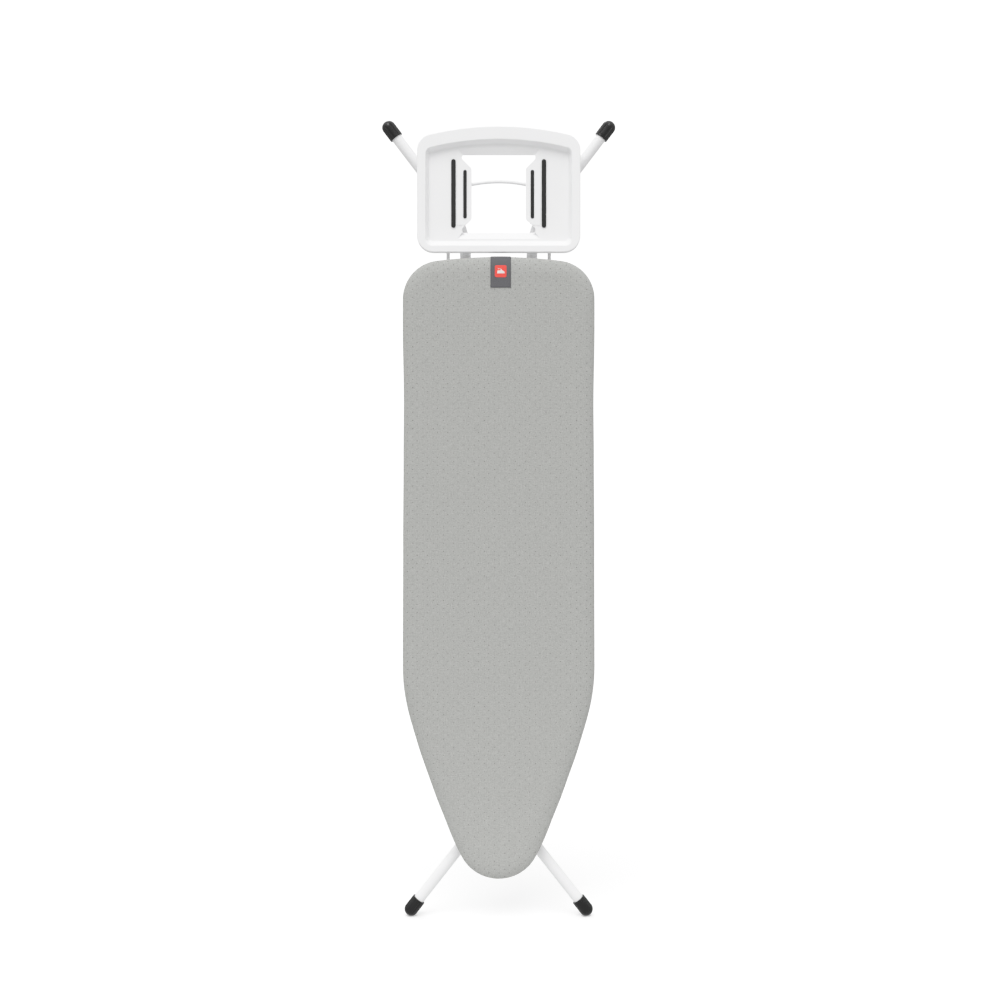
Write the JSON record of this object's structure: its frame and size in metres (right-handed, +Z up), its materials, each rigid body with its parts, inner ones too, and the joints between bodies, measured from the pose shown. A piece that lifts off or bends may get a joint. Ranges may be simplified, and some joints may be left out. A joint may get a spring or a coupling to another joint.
{
  "type": "folding ironing board",
  "caption": "Folding ironing board stored upright: padded cloth-covered board with a rounded nose, steam-unit tray on a wire frame, splayed scissor legs with capped feet.",
  "frame": {"origin": "centre of the bottom of the folded board's box: on the floor under the lower foot caps, midway between the ironing surface and the backs of the caps", "axes": "+Z up along the board towards its square tail and the tray, -Y out of the ironing surface, +Y towards the legs, +X to the right as one faces the ironing surface"},
  "size_m": [0.4712, 0.0676, 1.6104],
  "materials": {
    "cover_cloth": "fine woven cotton in light grey, sprinkled with small dots",
    "label_cloth": "dark grey woven tab",
    "pad_felt": "needled felt",
    "coated_steel": "powder-coated sheet and tube, satin light grey",
    "leg_coating": "powder-coated tube, satin white",
    "coated_wire": "powder-coated wire, satin white",
    "tray_plastic": "moulded plastic, satin white",
    "strip_silicone": "black silicone",
    "cap_rubber": "black moulded rubber",
    "nylon_black": "black moulded nylon",
    "nylon_grey": "grey moulded nylon",
    "grip_rubber": "black soft grip",
    "zinc_steel": "bright zinc-plated steel",
    "spring_steel": "drawn spring wire"
  },
  "bodies": {
    "board": {"board_panel": "coated_steel", "rim_tube": "coated_steel", "cross_rib_1": "coated_steel", "cross_rib_2": "coated_steel", "cross_rib_3": "coated_steel", "cross_rib_4": "coated_steel", "slide_rail_left": "coated_steel", "slide_rail_right": "coated_steel", "height_rack": "coated_steel", "pivot_bracket_left": "coated_steel", "pivot_bracket_right": "coated_steel", "holder_bracket_left": "coated_steel", "holder_bracket_right": "coated_steel", "frame_rivets": "zinc_steel", "underlay_pad": "pad_felt", "cover": "cover_cloth", "cover_label": "label_cloth", "holder_tray": "tray_plastic", "holder_wire": "coated_wire", "strip_outer_left": "strip_silicone", "strip_outer_right": "strip_silicone", "strip_inner_left": "strip_silicone", "strip_inner_right": "strip_silicone", "wire_clips": "tray_plastic", "clip_screws": "zinc_steel", "wire_end_nuts": "nylon_black"},
    "inner_legs": {"inner_leg_left": "leg_coating", "inner_leg_right": "leg_coating", "inner_brace_upper": "coated_steel", "inner_brace_middle": "coated_steel", "inner_brace_lower": "coated_steel", "inner_foot_left": "cap_rubber", "inner_foot_right": "cap_rubber", "inner_pivot_rod": "zinc_steel", "pivot_rod_caps": "nylon_black", "scissor_bolt_left": "zinc_steel", "scissor_bolt_right": "zinc_steel", "scissor_spacers": "nylon_black", "scissor_nuts": "zinc_steel", "inner_tube_plugs": "nylon_black"},
    "outer_legs": {"outer_leg_left": "leg_coating", "outer_leg_right": "leg_coating", "outer_brace_middle": "coated_steel", "outer_brace_end": "coated_steel", "brace_screws": "zinc_steel", "outer_foot_left": "cap_rubber", "outer_foot_right": "cap_rubber", "slide_rod": "zinc_steel", "outer_tube_plugs": "nylon_black"},
    "carriage": {"glide_left": "nylon_grey", "glide_right": "nylon_grey"},
    "release_lever": {"lever_pawl": "zinc_steel", "lever_wire": "coated_wire", "lever_grip": "grip_rubber", "lever_spring": "spring_steel"},
    "transport_lock": {"lock_hook": "nylon_black", "lock_knob": "nylon_black"}
  },
  "joints": [
    {"name": "fold", "type": "hinge", "parent": "board", "child": "inner_legs", "pos_m": [0, -0.00881, 1.27507], "axis": [1, 0, 0], "range_deg": [0, 46.2]},
    {"name": "scissor", "type": "hinge", "parent": "inner_legs", "child": "outer_legs", "pos_m": [0, 0.00185, 0.8052], "axis": [-1, 0, 0], "range_deg": [0, 92.6]},
    {"name": "glide_turn", "type": "hinge", "parent": "outer_legs", "child": "carriage", "pos_m": [0, -0.00881, 0.33532], "axis": [1, 0, 0], "range_deg": [0, 46.4]},
    {"name": "release", "type": "hinge", "parent": "carriage", "child": "release_lever", "pos_m": [0, -0.00881, 0.33532], "axis": [1, 0, 0], "range_deg": [-9.5, 8], "stiffness_Nm_per_rad": 1.2, "springref_deg": -14.32},
    {"name": "lock_turn", "type": "hinge", "parent": "outer_legs", "child": "transport_lock", "pos_m": [0, 0.02055, 1.01182], "axis": [0, -0.9997, 0.0227], "range_deg": [0, 90]}
  ],
  "couplings": [
    {"joint": "scissor", "follows": "fold", "ratio": 2},
    {"joint": "glide_turn", "follows": "fold", "ratio": 1}
  ]
}
